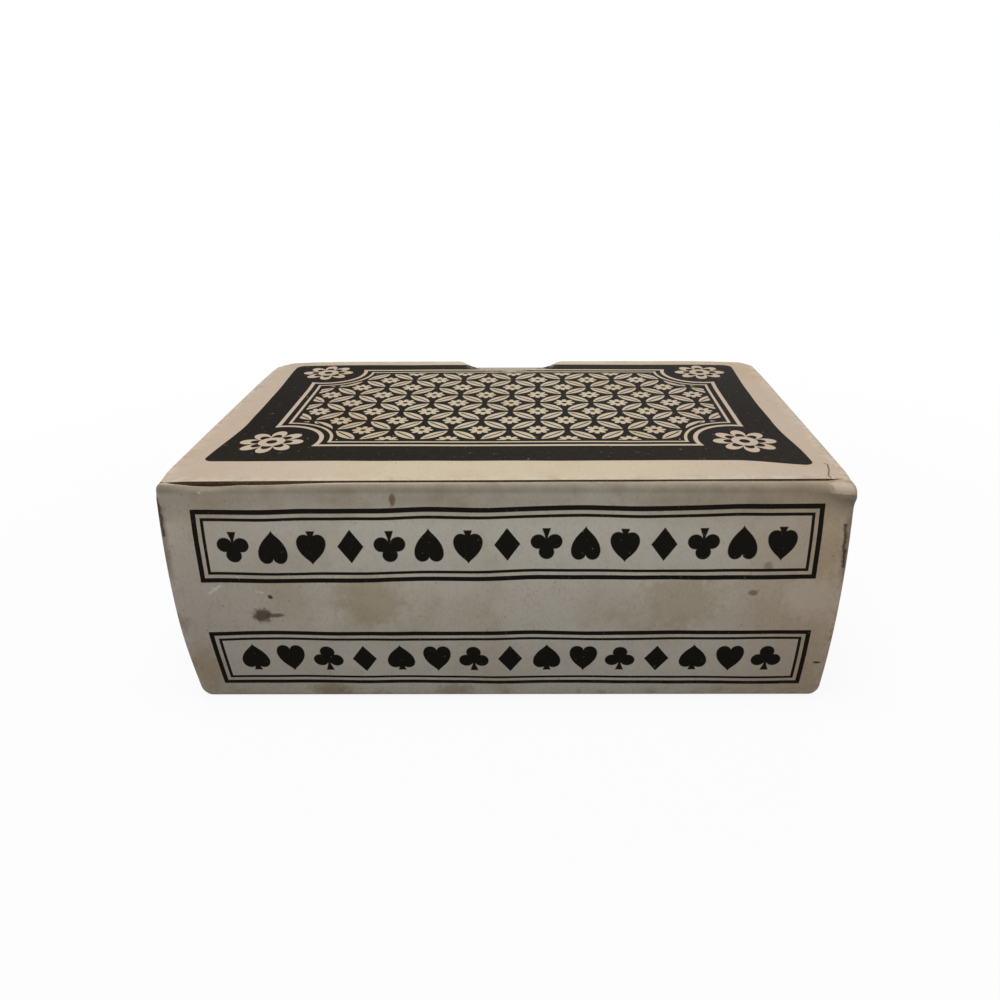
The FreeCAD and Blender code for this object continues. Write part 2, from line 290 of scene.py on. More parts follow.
class Tone:
    """A value in a material's node tree: sums and products of tones add Math nodes."""

    def __init__(self, tree, socket=None):
        self.tree = tree
        self.socket = socket

    def node(self, kind, settings, inputs, output=0):
        """Any node: its type, its settings, then the values or links of its sockets."""
        made = self.tree.nodes.new(kind)
        for name, value in settings.items():
            setattr(made, name, value)
        for name, value in inputs.items():
            if isinstance(value, Tone):
                self.tree.links.new(value.socket, made.inputs[name])
            else:
                made.inputs[name].default_value = value
        return Tone(self.tree, made.outputs[output])

    def math(self, operation, *values):
        return self.node("ShaderNodeMath", {"operation": operation}, dict(enumerate(values)))

    def __add__(self, other):
        return self.math("ADD", self, other)

    def __radd__(self, other):
        return self.math("ADD", other, self)

    def __sub__(self, other):
        return self.math("SUBTRACT", self, other)

    def __rsub__(self, other):
        return self.math("SUBTRACT", other, self)

    def __mul__(self, other):
        return self.math("MULTIPLY", self, other)

    def __rmul__(self, other):
        return self.math("MULTIPLY", other, self)

    def __truediv__(self, other):
        return self.math("DIVIDE", self, other)

    def __rtruediv__(self, other):
        return self.math("DIVIDE", other, self)

    def __abs__(self):
        return self.math("ABSOLUTE", self)

    def least(self, other):
        return self.math("MINIMUM", self, other)

    def most(self, other):
        return self.math("MAXIMUM", self, other)

    def root(self):
        return self.math("SQRT", self)

    def floor(self):
        return self.math("FLOOR", self)

    def length(self, other):
        return (self * self + other * other).root()

    def turn(self, other):
        return self.math("ARCTAN2", self, other)

    def wave(self):
        return self.math("COSINE", self)

    def ramp(self, low, high):
        """A soft step from 0 at low to 1 at high, falling where low is the larger."""
        inputs = {"Value": self, "From Min": low, "From Max": high}
        return self.node("ShaderNodeMapRange", {"interpolation_type": "SMOOTHSTEP"}, inputs)

    def below(self, limit, soft=INK_EDGE):
        """1 where the tone is under the limit, with a soft edge as printed ink has."""
        return self.ramp(limit + soft, limit - soft)

    def is_number(self, number):
        """1 where the tone is this whole number."""
        return abs(self - number).below(0.5, NUMBER_EDGE)

    def mix(self, first, second):
        """The colour first where the tone is 0, second where it is 1, by a Mix node's colour sockets."""
        inputs = {0: self, 6: first, 7: second}
        return self.node("ShaderNodeMix", {"data_type": "RGBA"}, inputs, output=2)


def srgb(red, green, blue):
    """A colour given as it looks on screen, as the shader wants it."""
    parts = [part / 255 for part in (red, green, blue)]
    return tuple(p / 12.92 if p <= 0.04045 else ((p + 0.055) / 1.055) ** 2.4 for p in parts) + (1.0,)


PAPER_SPECULAR = 0.012
BUMP_DEPTH = 0.1 * MM
STROKE_END = 0.15
CLOUD_MEAN = 0.5


def new_paper(name):
    """A new material, its shader, its print coordinates, and their two parts in millimetres."""
    material = bpy.data.materials.new(name)
    material.use_nodes = True
    start = Tone(material.node_tree)
    place = start.node("ShaderNodeUVMap", {"uv_map": "print"}, {})
    across = start.node("ShaderNodeSeparateXYZ", {}, {"Vector": place}, output="X")
    along = start.node("ShaderNodeSeparateXYZ", {}, {"Vector": place}, output="Y")
    shader = material.node_tree.nodes["Principled BSDF"]
    shader.inputs["Specular IOR Level"].default_value = PAPER_SPECULAR
    return material, shader, place, across, along


def point_fact(place, name):
    """A number that each point of the mesh carries, such as its wear."""
    return place.node("ShaderNodeAttribute", {"attribute_name": name}, {}, output="Fac")


def cloud(place, scale, detail=2.0, rough=0.5, stretch=(1.0, 1.0, 1.0)):
    """Cloudy variation over the print coordinates, CLOUD_MEAN on average."""
    spaced = place.node("ShaderNodeVectorMath", {"operation": "MULTIPLY"}, {0: place, 1: stretch})
    inputs = {"Vector": spaced, "Scale": scale, "Detail": detail, "Roughness": rough}
    return place.node("ShaderNodeTexNoise", {"noise_dimensions": "2D"}, inputs)


def finish_paper(shader, colour, roughness, height, strength):
    """Wire colour, roughness and a bump to the shader."""
    inputs = {"Height": height, "Strength": strength, "Distance": BUMP_DEPTH}
    bump = colour.node("ShaderNodeBump", {}, inputs)
    for value, socket in ((colour, "Base Color"), (roughness, "Roughness"), (bump, "Normal")):
        colour.tree.links.new(value.socket, shader.inputs[socket])


def stroke(across, along, start, finish, width):
    """1 along a thin line between two points of the print, in millimetres."""
    run_x, run_y = finish[0] - start[0], finish[1] - start[1]
    length = math.hypot(run_x, run_y)
    run_x, run_y = run_x / length, run_y / length
    run = (across - start[0]) * run_x + (along - start[1]) * run_y
    off = (along - start[1]) * run_x - (across - start[0]) * run_y
    return abs(run - length / 2).below(length / 2, STROKE_END) * abs(off).below(width / 2, width / 2)


def scored(colour, across, along, lines, width, share, tint):
    """The colour with thin lines of a tint across it."""
    for start, finish in lines:
        colour = (stroke(across, along, start, finish, width) * share).mix(colour, tint)
    return colour


CREAM = srgb(210, 195, 169)
END_CREAM = srgb(199, 180, 162)
AGED_CREAM = srgb(193, 170, 134)
GRIME = srgb(112, 92, 72)
BARE_FIBRE = srgb(222, 211, 192)
PRINT_BLACK = srgb(17, 12, 7)
RUBBED_BLACK = srgb(38, 32, 25)
DULL_BELOW = 0.52
# How far each kind of ageing goes at its strongest, from 0 to 1.
AGE_SHARE = 0.45
FIBRE_SHARE = 0.55
MOTTLE_SHARE = 0.35
SPECK_SHARE = 0.35
RUB_SHARE = 0.5
SOIL_SHARE = 0.5
# Where on its cloud each kind of ageing begins, and where it is complete.
AGE_RANGE, SPECK_RANGE = (0.44, 0.74), (0.79, 0.83)
RUB_RANGE, SOIL_RANGE = (0.42, 0.6), (0.5, 0.7)


def worn_paper(place, fresh, aged, depth):
    """Old uncoated board: blotches of age, mottling, fibres and specks, with rubbed and grimy edges."""
    wear = point_fact(place, "wear")
    age = cloud(place, scale=0.055, detail=4.0, rough=0.6).ramp(*AGE_RANGE)
    fibre = cloud(place, scale=2.6, detail=3.0, rough=0.65, stretch=(1.0, 0.6, 1.0))
    mottle = cloud(place, scale=0.5, detail=4.0, rough=0.6)
    specks = cloud(place, scale=1.3, detail=1.0).ramp(*SPECK_RANGE)
    rub = wear * cloud(place, scale=0.6, detail=4.0, rough=0.7).ramp(*RUB_RANGE)
    soil = wear * cloud(place, scale=0.25, detail=4.0, rough=0.7).ramp(*SOIL_RANGE)
    colour = (age * AGE_SHARE).mix(fresh, aged)
    dull = (DULL_BELOW - fibre) * FIBRE_SHARE + (DULL_BELOW - mottle) * MOTTLE_SHARE
    dull = dull.most(0.0) * depth
    colour = (dull + specks * SPECK_SHARE).mix(colour, GRIME)
    colour = (rub * RUB_SHARE).mix(colour, BARE_FIBRE)
    colour = (soil * (SOIL_SHARE * depth)).mix(colour, GRIME)
    return colour, fibre, rub


def rounded_box(across, along, half_across, half_along, radius):
    """Distance outside a rounded rectangle about the middle, negative inside."""
    over_x = abs(across) - (half_across - radius)
    over_y = abs(along) - (half_along - radius)
    return over_x.most(0.0).length(over_y.most(0.0)) + over_x.most(over_y).least(0.0) - radius


# The ornament: its frame in millimetres, its rosettes as shares of the corner scoop, and its
# lattice of leaves and daisies as shares of the lattice's pitch.
SCOOP = 6.8
LATTICE_PITCH = 6.2
LATTICE_INSET = 2.2
FRAME_CORNER = 0.2
FRAME_RULE = 0.32
INNER_RULE_AT = 1.4
INNER_RULE = 0.22
ROSETTE_INSET = 0.22
PETAL_OUT, PETAL_IN = 0.66, 0.44
HEART_OUT, HEART_IN = 0.27, 0.11
LEAF_REACH = 0.645
LEAF_EDGE = 0.01
RIB_WIDTH, RIB_REACH, RIB_END = 0.022, 0.3, 0.05
DAISY_OUT, DAISY_IN, DAISY_EDGE = 0.275, 0.07, 0.015
PETAL_WAVES = 4.0
ROSETTE_SCALLOP = 0.62
DAISY_SCALLOP = 0.6


def scallop(around, depth):
    """Outline of a flower as a share of its reach, by the angle round its middle."""
    return abs((around * PETAL_WAVES).wave()).root() * depth + (1 - depth)


def ornament(across, along, half_across, half_along):
    """Bare-paper share of the back print: a ruled frame, rosettes, and a lattice of leaves."""
    corner_x = abs(across) - (half_across - SCOOP * ROSETTE_INSET)
    corner_y = abs(along) - (half_along - SCOOP * ROSETTE_INSET)
    from_corner, around = corner_x.length(corner_y), corner_y.turn(corner_x)
    frame_box = rounded_box(across, along, half_across, half_along, FRAME_CORNER)
    frame_line = frame_box.most(SCOOP - from_corner)
    rules = abs(frame_line).below(FRAME_RULE).most(abs(frame_line + INNER_RULE_AT).below(INNER_RULE))
    diagonal = math.sqrt(0.5) / LATTICE_PITCH
    slant, lean = (across + along) * diagonal, (across - along) * diagonal
    off_a, off_b = slant - (slant + 0.5).floor(), lean - (lean + 0.5).floor()
    step_a, step_b = abs(off_a), abs(off_b)
    leaf = (1.0 - step_a).length(step_b).least(step_a.length(1.0 - step_b))
    rib = (0.5 - step_a.most(step_b)).below(RIB_WIDTH, LEAF_EDGE)
    rib = rib * step_a.least(step_b).below(RIB_REACH, RIB_END)
    leaves = leaf.below(LEAF_REACH, LEAF_EDGE) * (1.0 - rib)
    daisy_reach = step_a.length(step_b) / scallop(off_a.turn(off_b), DAISY_SCALLOP)
    daisy_eye = step_a.length(step_b).below(DAISY_IN, DAISY_EDGE)
    daisy = daisy_reach.below(DAISY_OUT, DAISY_EDGE) * (1.0 - daisy_eye)
    lattice = leaves.most(daisy) * frame_line.below(-LATTICE_INSET)
    rosette_reach = from_corner / scallop(around, ROSETTE_SCALLOP)
    petals = rosette_reach.below(SCOOP * PETAL_OUT) * (1.0 - rosette_reach.below(SCOOP * PETAL_IN))
    heart = from_corner.below(SCOOP * HEART_OUT) * (1.0 - from_corner.below(SCOOP * HEART_IN))
    return rules.most(lattice).most(petals).most(heart)


# Cracks at the right end of the upper panel, from point to point of the print.
CRACKS = (
    ((43.2, 6.7), (43.6, 6.4)),
    ((43.6, 6.4), (43.2, 4.4)),
    ((43.2, 4.4), (42.5, 2.4)),
    ((42.5, 2.4), (42.6, 1.5)),
    ((43.1, 1.75), (44.2, 1.5)),
)
CRACK_WIDTH = 0.2
CRACK_SHARE = 0.85
CRACK_BROWN = srgb(92, 70, 50)
# Painted shade: a dark brown for the cut edge at the seam, standing in for the shadowed gap under the
# upper panel's near edge.
SEAM_SHADE_BROWN = srgb(96, 74, 56)
SEAM_ZONE, SEAM_FADE = 2.2, 0.2
INSIDE_GREY = srgb(168, 158, 141)
INSIDE_AGED = srgb(150, 136, 112)
CUT_PALE = srgb(192, 178, 154)
CUT_BROWN = srgb(150, 132, 106)
FOLD_WEAR = 1.6 * MM
EDGE_WEAR = 1.2 * MM
# The dark panel and its frame in millimetres, with the runs over which the panel flares and dips.
PANEL_HALF_ACROSS = 40.45
PANEL_HALF_ALONG = 24.6
PANEL_MIDDLE = 32.4
PANEL_CORNER = 1.4
NEAR_FLARE, NEAR_FLARE_RUN = 1.45, (24.0, 7.0)
FAR_FLARE, FAR_FLARE_RUN = 0.7, (40.0, 55.0)
CORNER_DIP, DIP_ACROSS, DIP_ALONG = 1.8, (31.0, 43.0), (22.0, 7.0)
FRAME_HALF_ACROSS = 35.3
FRAME_HALF_ALONG = 19.7
FRAME_MIDDLE = 33.6
PRINT_WOBBLE = 0.5
END_FADE = (12.0, 44.0)
INK_RUB, INK_RUB_RUN = 0.8, (26.0, 7.0)
SCUFF_RANGE = (0.66, 0.74)
SCUFF_LOSS, RUB_LOSS = 0.4, 0.7
# Roughness of each board, what ink and fibres take from it, and how far ink stands up.
PANEL_ROUGH, INSIDE_ROUGH, CUT_ROUGH = 0.82, 0.9, 0.95
INK_SMOOTH, FIBRE_SMOOTH, ROUGH_VARIES = 0.25, 0.08, 0.1
INK_RAISED = 0.3
LAYER_RANGE = (0.3, 0.8)
SEAM_SHADE, SEAM_SHADE_VARIES = 0.75, 0.4

sleeve_board, shader, place, across, along = new_paper("cream_board_printed")
runs = {}
for board, _, _, run in sleeve_path():
    runs.setdefault(board, []).append(run / MM)
under_middle = (runs["under"][0] + runs["under"][-1]) / 2
right_middle = (runs["right"][0] + runs["right"][-1]) / 2
panel_across = across - across.math("GREATER_THAN", across, right_middle) * under_middle
wobble = (cloud(place, scale=0.06, detail=1.0) - CLOUD_MEAN) * PRINT_WOBBLE
from_lid = along - LID_FACE / MM
flare = from_lid.ramp(*NEAR_FLARE_RUN) * NEAR_FLARE + from_lid.ramp(*FAR_FLARE_RUN) * FAR_FLARE
dip = panel_across.ramp(*DIP_ACROSS) * from_lid.ramp(*DIP_ALONG) * CORNER_DIP + wobble
panel_side = abs(panel_across) - flare + wobble
panel_along = from_lid - PANEL_MIDDLE + dip
panel = rounded_box(panel_side, panel_along, PANEL_HALF_ACROSS, PANEL_HALF_ALONG, PANEL_CORNER)
frame_side = panel_across * (1.0 - flare / PANEL_HALF_ACROSS)
bare = ornament(frame_side, from_lid - FRAME_MIDDLE + wobble, FRAME_HALF_ACROSS, FRAME_HALF_ALONG)
fresh = abs(panel_across).ramp(*END_FADE).mix(CREAM, END_CREAM)
colour, fibre, rub = worn_paper(place, fresh, AGED_CREAM, depth=0.5)
colour = scored(colour, across, from_lid, CRACKS, CRACK_WIDTH, CRACK_SHARE, CRACK_BROWN)
scuffs = cloud(place, scale=0.8, detail=5.0, rough=0.75).ramp(*SCUFF_RANGE)
inked = panel.below(0.0) * (1.0 - bare) * (1.0 - scuffs * SCUFF_LOSS) * (1.0 - rub * RUB_LOSS)
rubbed = cloud(place, scale=1.2, detail=3.0) * (from_lid.ramp(*INK_RUB_RUN) * INK_RUB + (1 - INK_RUB))
colour = inked.mix(colour, rubbed.mix(PRINT_BLACK, RUBBED_BLACK))
roughness = PANEL_ROUGH - inked * INK_SMOOTH - fibre * FIBRE_SMOOTH
finish_paper(shader, colour, roughness, height=fibre + inked * INK_RAISED, strength=0.25)

inner_board, shader, place, _, _ = new_paper("plain_board_inside")
colour, fibre, _ = worn_paper(place, INSIDE_GREY, INSIDE_AGED, depth=1.0)
finish_paper(shader, colour, roughness=INSIDE_ROUGH - fibre * ROUGH_VARIES, height=fibre, strength=0.3)

cut_board, shader, place, across, along = new_paper("cut_board_edge")
layers = cloud(place, scale=1.4, detail=4.0, rough=0.7)
colour = layers.ramp(*LAYER_RANGE).mix(CUT_PALE, CUT_BROWN)
# Painted shade: the upper panel's cut edge along the seam is darkened, standing in for the shadow in the
# gap over the tuck fold.
at_seam = (along - LID_FACE / MM).below(SEAM_ZONE, SEAM_FADE) * abs(across).below(RIGHT_WALL / MM)
seam_shade = at_seam * (SEAM_SHADE + layers * SEAM_SHADE_VARIES)
colour = seam_shade.mix(colour, SEAM_SHADE_BROWN)
finish_paper(shader, colour, CUT_ROUGH - layers * ROUGH_VARIES, height=layers, strength=0.4)

columns, prints, wear = [], [], []
for board, x, z, run in sleeve_path():
    near, far = sleeve_reach(board, x, z)
    core_x = min(max(x, LEFT_WALL + BOARD + FOLD_RADIUS), RIGHT_WALL - FOLD_RADIUS)
    core_z = min(max(z, FOLD_RADIUS), CASE_HEIGHT - FOLD_RADIUS)
    outwards = Vector((x - core_x, 0, z - core_z)).normalized()
    ends = [step * MM for step in LENGTH_ENDS]
    stations = [near + end for end in ends]
    stations += spread(near + LENGTH_MARGIN, far - LENGTH_MARGIN, LENGTH_STEPS)
    stations += [far - end for end in reversed(ends)]
    columns.append([worn_place(Vector((x, y, z)), outwards) for y in stations])
    prints.append([(run / MM, y / MM) for y in stations])
    from_fold = min(x - LEFT_WALL, RIGHT_WALL - x) + min(z, CASE_HEIGHT - z)
    fold_wear = 0.0 if board.startswith("glue") else near_to(from_fold, FOLD_WEAR)
    wear.append([max(near_to(min(y - near, far - y), EDGE_WEAR), fold_wear) for y in stations])
sleeve_papers = (sleeve_board, inner_board, cut_board)
sleeve = board_sheet("sleeve", columns, prints, wear, sleeve_papers, butted=("low",))
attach(sleeve, "case")
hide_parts("upper_panel", "under_panel", "left_side_panel", "right_side_panel", "glue_flap")


# Closing lid: the near long side, part of the same blank, hinged on a crease at the under panel.
# It bows outwards from years of closing, and carries two ruled labels, the upper one upside down,
# so that one reads upright whichever deck is uppermost.
LID_HALF = LID_HIGH.x
LID_HEAD = LID_HIGH.z
LID_BOW = LID_FACE - LID_LOW.y
BOW_RADIUS = (LID_HEAD**2 / 4 + LID_BOW**2) / (2 * LID_BOW)
LID_TURN = 0.7 * MM
LID_CORNER = 2.0 * MM
LEFT_TRIM, RIGHT_TRIM = 0.13 * MM, 0.08 * MM
LID_LEFT = LID_LOW.x + LEFT_TRIM
LID_RIGHT = RIGHT_WALL - RIGHT_TRIM
HEAD_ROUND = 0.7 * MM
HEAD_DEEP = 2.3 * MM
HEAD_CURVE = 2.5
HEAD_ENDS = 0.9
LEFT_HEAD_EXTRA = 0.3
FOOT_PINCH = 0.4 * MM
PINCH_TOP = 15 * MM
LID_RIPPLE = 0.06
RIPPLE_ACROSS, RIPPLE_UP, RIPPLE_SEED = 2.2, 60, 3.0
LID_WEAR = 1.5 * MM
BULGE = 0.9 * MM
CRUSH_HEIGHT = 32.7 * MM
CRUSH_SLOPE = 0.32
CRUSH_RUN = 5.0 * MM
CRUSH_REACH = 1.15 * MM
CRUSH_FOOT = 28.5 * MM
CREASE_STEPS = 7
FOOT_STEPS, FACE_STEPS, HEAD_STEPS = 6, 25, 12
WIDTH_STEPS = 22
END_SHARES = (0.93, 0.955, 0.975, 0.99, 1.0)
LID_CREAM = srgb(219, 211, 195)
LID_LEFT_CREAM = srgb(204, 193, 178)
LID_RIGHT_CREAM = srgb(204, 183, 158)
LEFT_FADE, RIGHT_FADE = (-18.0, -45.0), (22.0, 44.0)
# Pale line along the fold crest: a painted highlight where the fold faces the lamp, together with rubbed
# pale fibre.
CREST_HIGHLIGHT = srgb(226, 208, 190)
CREST_RUN = 34.3
CREST_HALF = 0.25
CREST_FADE = (10.0, -30.0)
CREST_LEFT, CREST_LEAST = 0.5, 0.12
LID_AGED = srgb(184, 166, 132)
# The lid's face is darker towards its head, with a darker line just under the fold.
LID_HEAD_DARK = srgb(132, 120, 101)
HEAD_DARK_START, HEAD_DARK_LINE, HEAD_DARK_STOP = (28.0, 32.0), (32.4, 33.4), (36.0, 34.6)
HEAD_DARKENING, HEAD_DARKENING_VARIES, LINE_DARKENING = 0.28, 0.4, 0.25
# Painted shade at the lid's upper ends: dark strips and lines standing in for the shadowed gap between
# the lid's ends and the side panels.
END_GAP_SHADE = srgb(66, 49, 38)
END_ZONE = (44.3, 45.2)
END_MIDDLE, END_HALF, END_SPREAD = 25.5, 4.5, 2.0
END_SHARE = 0.45
# Each stain, and two pale painted highlights on the crumpled right end and the crushed head corner, in
# millimetres of the print: its place, radius, flatness, tint and strength.
STAINS_AND_HIGHLIGHTS = (
    (-33.8, 15.1, 1.2, 1.2, srgb(82, 67, 54), 0.85),
    (-31.9, 15.1, 1.1, 3.6, srgb(96, 80, 64), 0.8),
    (-32.2, 18.1, 0.3, 1.0, srgb(60, 46, 34), 0.9),
    (-14.75, 31.9, 0.38, 0.55, srgb(108, 82, 60), 0.75),
    (35.1, 22.7, 0.6, 1.0, srgb(110, 88, 64), 0.7),
    (33.5, 18.7, 0.6, 1.4, srgb(116, 92, 68), 0.7),
    (44.1, 6.7, 0.5, 2.6, srgb(56, 46, 38), 0.9),
    (-18.8, 17.6, 4.5, 1.1, srgb(176, 152, 112), 0.45),
    (23.6, 17.5, 5.0, 1.1, srgb(176, 152, 112), 0.4),
    (-26.4, 1.3, 2.6, 2.0, srgb(136, 106, 76), 0.45),
    (-8.0, 1.3, 2.4, 2.0, srgb(140, 110, 80), 0.4),
    (-43.4, 6.0, 2.6, 0.7, srgb(176, 146, 98), 0.4),
    # Painted highlights: pale patches where the crumpled right end and the crushed head corner face the
    # lamp.
    (41.5, 17.8, 3.6, 1.1, srgb(230, 214, 196), 0.5),
    (44.0, 33.6, 1.5, 1.3, srgb(236, 216, 196), 0.5),
)
PATCH_RAGGED, PATCH_SOFT = 1.8, 0.45
TORN_RAGGED, END_RAGGED, SHADE_LINE_RAGGED = 1.2, 0.5, 0.8
# Scratches and raised scuffs: bared pale fibre with a painted glint, so their white is brighter than bare
# fibre.
SCRATCHES = (
    ((-40.5, 18.7), (-39.4, 19.1)),
    ((-39.7, 19.1), (-38.6, 19.9)),
    ((-40.1, 19.6), (-39.5, 19.2)),
    ((-34.1, 19.0), (-33.0, 18.7)),
    ((-36.2, 21.3), (-35.8, 20.9)),
    ((-39.75, 33.0), (-39.35, 33.1)),
    ((33.0, 21.2), (33.7, 21.0)),
)
SCRATCH_GLINT_WHITE = srgb(244, 240, 232)
SCRATCH_WIDTH, SCRATCH_SHARE = 0.26, 0.6
END_SHADE_LINES = (((44.6, 28.6), (45.1, 22.4)), ((-45.3, 32.2), (-45.1, 27.0)))
END_LINE_WIDTH, END_LINE_SHARE = 0.4, 0.85
# Each label: its middle and half sizes in millimetres, tilt, spreading, and 1 upright or -1 turned.
LABELS = ((0.2, 25.75, 41.5, 5.2, 0.009, 0.0, -1.0), (0.3, 7.55, 42.0, 4.92, -0.001, 0.003, 1.0))
LABEL_WHITE = srgb(212, 207, 197)
LABEL_INK = srgb(34, 31, 27)
LABEL_CORNER = 0.1
LABEL_WOBBLE, LABEL_SWAY = 0.6, 0.5
LABEL_PALE, LABEL_PALE_INSET = 0.28, 1.3
OUTER_LINE = 0.33
INNER_LINE_AT, INNER_LINE = 1.36, 0.21
FLAKE_RANGE = (0.66, 0.76)
FLAKE_LOSS, LID_RUB_LOSS = 0.4, 0.6
LID_ROUGH, LABEL_RAISED = 0.8, 0.2
PIP_PITCH = 5.2
PIPS_PER_ROW = 15
PIP_HALF = 2.35
SUIT_COUNT = 4
# Suit signs, about one unit to each side of the middle: edge, heart, spade, stems, club and diamond.
PIP_EDGE = 0.03
HEART_WIDE, HEART_TALL, HEART_CLEFT, HEART_DROP, HEART_RADIUS = 1.08, 1.05, 0.72, 0.22, 0.9
SPADE_RISE, SPADE_TALL = 0.18, 1.1
STEM_HALF, STEM_WAIST, STEM_FLARE = 0.09, -0.45, 0.34
STEM_FOOT, STEM_FOOT_EDGE, STEM_HEAD = 0.95, 0.06, -0.1
LEAF_RADIUS, LEAF_TOP, LEAF_SIDE, LEAF_DROP = 0.44, 0.5, 0.46, 0.12
CLUB_MIDDLE, CLUB_INSET = 0.08, 0.12
DIAMOND_SLIM = 1.35


def lid_face(z):
    """Outer face of the bowed lid at a height."""
    return LID_FACE + BOW_RADIUS - LID_BOW - math.sqrt(BOW_RADIUS**2 - (z - LID_HEAD / 2) ** 2)


def bend(start, control, finish, count):
    """Points along a soft fold from start to finish, pulled towards the corner of its two faces."""
    steps = spread(0.0, 1.0, count)
    return [start * (1 - t) ** 2 + control * (2 * t * (1 - t)) + finish * t**2 for t in steps]


def suit_pip(x, y, suit):
    """Ink share of one suit sign at a place measured from its middle."""

    def heart(x, y):
        cleft = y * HEART_TALL - abs(x).root() * HEART_CLEFT + HEART_DROP
        return (x * HEART_WIDE).length(cleft).below(HEART_RADIUS, PIP_EDGE)

    stem = abs(x).below(STEM_HALF + (STEM_WAIST - y).most(0.0) * STEM_FLARE, PIP_EDGE)
    stem = stem * (y + STEM_FOOT).ramp(0.0, STEM_FOOT_EDGE) * y.below(STEM_HEAD)
    club_middle = x.length(y - CLUB_MIDDLE) + CLUB_INSET
    leaves = (y - LEAF_TOP).length(x).least((abs(x) - LEAF_SIDE).length(y + LEAF_DROP))
    leaves = leaves.least(club_middle).below(LEAF_RADIUS, PIP_EDGE)
    signs = (
        heart(x, SPADE_RISE - y * SPADE_TALL).most(stem),
        heart(x, y),
        leaves.most(stem),
        (abs(x) * DIAMOND_SLIM + abs(y)).below(1.0, PIP_EDGE),
    )
    chosen = [suit.is_number(number) * sign for number, sign in enumerate(signs)]
    return sum(chosen[1:], chosen[0])


lid_board, shader, place, across, along = new_paper("lid_board_printed")
fresh = across.ramp(*LEFT_FADE).mix(LID_CREAM, LID_LEFT_CREAM)
fresh = across.ramp(*RIGHT_FADE).mix(fresh, LID_RIGHT_CREAM)
colour, fibre, rub = worn_paper(place, fresh, LID_AGED, depth=1.0)
head_cloud = cloud(place, scale=0.3, detail=4.0)
# Darker towards the lid's head, cloudy, with a darker line just under the fold.
head_darkening = along.ramp(*HEAD_DARK_START) * (HEAD_DARKENING + head_cloud * HEAD_DARKENING_VARIES)
head_darkening = (head_darkening + along.ramp(*HEAD_DARK_LINE) * LINE_DARKENING) * along.ramp(*HEAD_DARK_STOP)
colour = head_darkening.mix(colour, LID_HEAD_DARK)
# Painted highlight along the fold crest, together with rubbed pale fibre, stronger towards the left.
crest_highlight_share = across.ramp(*CREST_FADE) * CREST_LEFT + CREST_LEAST
crest = abs(along - CREST_RUN).below(CREST_HALF, CREST_HALF) * crest_highlight_share
crest = crest * (CLOUD_MEAN + cloud(place, scale=0.7, detail=4.0))
colour = crest.mix(colour, CREST_HIGHLIGHT)
ragged = cloud(place, scale=0.8, detail=4.0, rough=0.7) - CLOUD_MEAN
for patch_x, patch_z, radius, flatness, tint, strength in STAINS_AND_HIGHLIGHTS:
    reach = (across - patch_x).length((along - patch_z) * flatness) + ragged * (radius * PATCH_RAGGED)
    colour = (reach.below(radius, radius * PATCH_SOFT) * strength).mix(colour, tint)
torn_x, torn_z = across + ragged, along + ragged * TORN_RAGGED
# Scratches: bared pale fibre with a painted glint on the raised flakes.
colour = scored(colour, torn_x, torn_z, SCRATCHES, SCRATCH_WIDTH, SCRATCH_SHARE, SCRATCH_GLINT_WHITE)
# Painted shade: dark strips and ragged lines at the lid's upper ends, standing in for the shadowed gap
# beside the side panels.
end_gap_shade = (abs(across) + ragged * END_RAGGED).ramp(*END_ZONE)
end_gap_shade = end_gap_shade * abs(along - END_MIDDLE).below(END_HALF, END_SPREAD)
colour = (end_gap_shade * END_SHARE).mix(colour, END_GAP_SHADE)
shade_line_x = across + ragged * SHADE_LINE_RAGGED
colour = scored(colour, shade_line_x, along, END_SHADE_LINES, END_LINE_WIDTH, END_LINE_SHARE, END_GAP_SHADE)
wobble = (cloud(place, scale=0.07, detail=1.0) - CLOUD_MEAN) * LABEL_WOBBLE
inked = 0.0
for middle_x, middle_z, half_x, half_z, tilt, spreading, upright in LABELS:
    label_x = across - middle_x
    label_z = along - middle_z - label_x * tilt + wobble
    half_here = label_x * spreading + half_z
    border = rounded_box(label_x + wobble * LABEL_SWAY, label_z, half_x, half_here, LABEL_CORNER)
    outer_line = abs(border + OUTER_LINE).below(OUTER_LINE)
    rules = outer_line.most(abs(border + INNER_LINE_AT).below(INNER_LINE))
    colour = (border.below(-LABEL_PALE_INSET) * LABEL_PALE).mix(colour, LABEL_WHITE)
    cell = (label_x * upright / PIP_PITCH + PIPS_PER_ROW / 2).floor()
    pip_x = label_x * upright - (cell + 0.5 - PIPS_PER_ROW / 2) * PIP_PITCH
    suit = cell - (cell / SUIT_COUNT).floor() * SUIT_COUNT
    row = abs(label_x).below(PIP_PITCH * PIPS_PER_ROW / 2)
    pips = suit_pip(pip_x * (1 / PIP_HALF), label_z * (upright / PIP_HALF), suit) * row
    inked = rules.most(pips) + inked
flaking = cloud(place, scale=1.6, detail=5.0, rough=0.75).ramp(*FLAKE_RANGE)
inked = inked * (1.0 - flaking * FLAKE_LOSS) * (1.0 - rub * LID_RUB_LOSS)
colour = inked.mix(colour, LABEL_INK)
roughness = LID_ROUGH - fibre * ROUGH_VARIES
finish_paper(shader, colour, roughness, height=fibre + inked * LABEL_RAISED, strength=0.3)


def ease(value, low, high):
    """A soft step from 0 at low to 1 at high."""
    share = min(max((value - low) / (high - low), 0.0), 1.0)
    return share * share * (3 - 2 * share)


